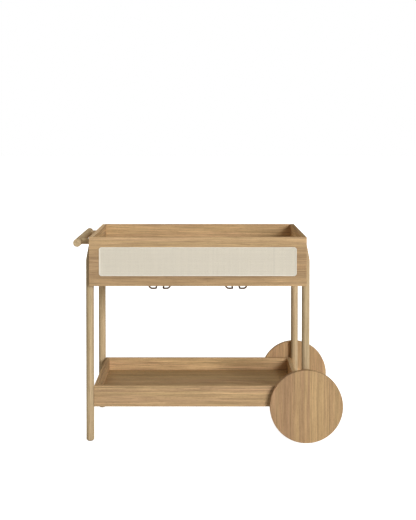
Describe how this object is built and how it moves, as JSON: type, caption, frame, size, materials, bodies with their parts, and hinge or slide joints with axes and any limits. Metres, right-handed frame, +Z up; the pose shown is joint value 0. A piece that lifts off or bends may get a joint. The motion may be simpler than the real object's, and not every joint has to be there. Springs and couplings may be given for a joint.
{
  "type": "bar cart",
  "caption": "Oak bar cart on legs and disc wheels: deep top box with woven panels, low tray, push bar and wire rails that hold stemmed glasses.",
  "frame": {"origin": "on the floor, below the middle of the cart's overall length and depth", "axes": "+X from the push bar to the wheels, +Y from front to back, +Z up"},
  "size_m": [0.933, 0.408, 0.71],
  "materials": {
    "oak_board": "matt oiled oak, grain along the board",
    "oak_floor": "matt oiled oak veneer, grain along the length",
    "oak_round": "matt oiled oak rod, grain along the rod",
    "oak_small": "oak plugs, keys and dowels",
    "oak_wheel": "matt oiled oak disc, upright grain",
    "webbing": "fine closed weave of bleached cane, held taut",
    "reed": "pale reed",
    "glide_nylon": "matt brown nylon",
    "bush_nylon": "matt nylon",
    "steel": "zinc plated steel",
    "brass": "satin brass",
    "bronze_wire": "satin dark bronze"
  },
  "bodies": {
    "cart": {"box_front_panel": "oak_board", "box_back_panel": "oak_board", "box_left_side": "oak_board", "box_right_side": "oak_board", "tray_front_board": "oak_board", "tray_back_board": "oak_board", "tray_left_board": "oak_board", "tray_right_board": "oak_board", "box_floor": "oak_floor", "tray_floor": "oak_floor", "front_left_leg": "oak_round", "back_left_leg": "oak_round", "front_right_leg": "oak_round", "back_right_leg": "oak_round", "push_bar": "oak_round", "front_bar_peg": "oak_round", "back_bar_peg": "oak_round", "box_corner_keys": "oak_small", "box_screw_plugs": "oak_small", "leg_plugs": "oak_small", "tray_dowels": "oak_small", "front_webbing": "webbing", "back_webbing": "webbing", "front_spline": "reed", "back_spline": "reed", "front_foot_glide": "glide_nylon", "back_foot_glide": "glide_nylon", "front_axle_bush": "bush_nylon", "back_axle_bush": "bush_nylon", "leg_screws": "steel", "tray_screws": "steel", "bar_screws": "steel", "left_rack_left_rail": "bronze_wire", "left_rack_right_rail": "bronze_wire", "right_rack_left_rail": "bronze_wire", "right_rack_right_rail": "bronze_wire", "rail_screws": "bronze_wire"},
    "front_wheel_set": {"front_wheel": "oak_wheel", "front_wheel_spindle": "steel", "front_plate_screws": "steel", "front_axle_washer": "brass", "front_axle_nut": "brass"},
    "back_wheel_set": {"back_wheel": "oak_wheel", "back_wheel_spindle": "steel", "back_plate_screws": "steel", "back_axle_washer": "brass", "back_axle_nut": "brass"}
  },
  "joints": [
    {"name": "front_wheel_spin", "type": "hinge", "parent": "cart", "child": "front_wheel_set", "pos_m": [0.3405, -0.187, 0.126], "axis": [0, 1, 0], "continuous": true},
    {"name": "back_wheel_spin", "type": "hinge", "parent": "cart", "child": "back_wheel_set", "pos_m": [0.3405, 0.187, 0.126], "axis": [0, 1, 0], "continuous": true}
  ]
}
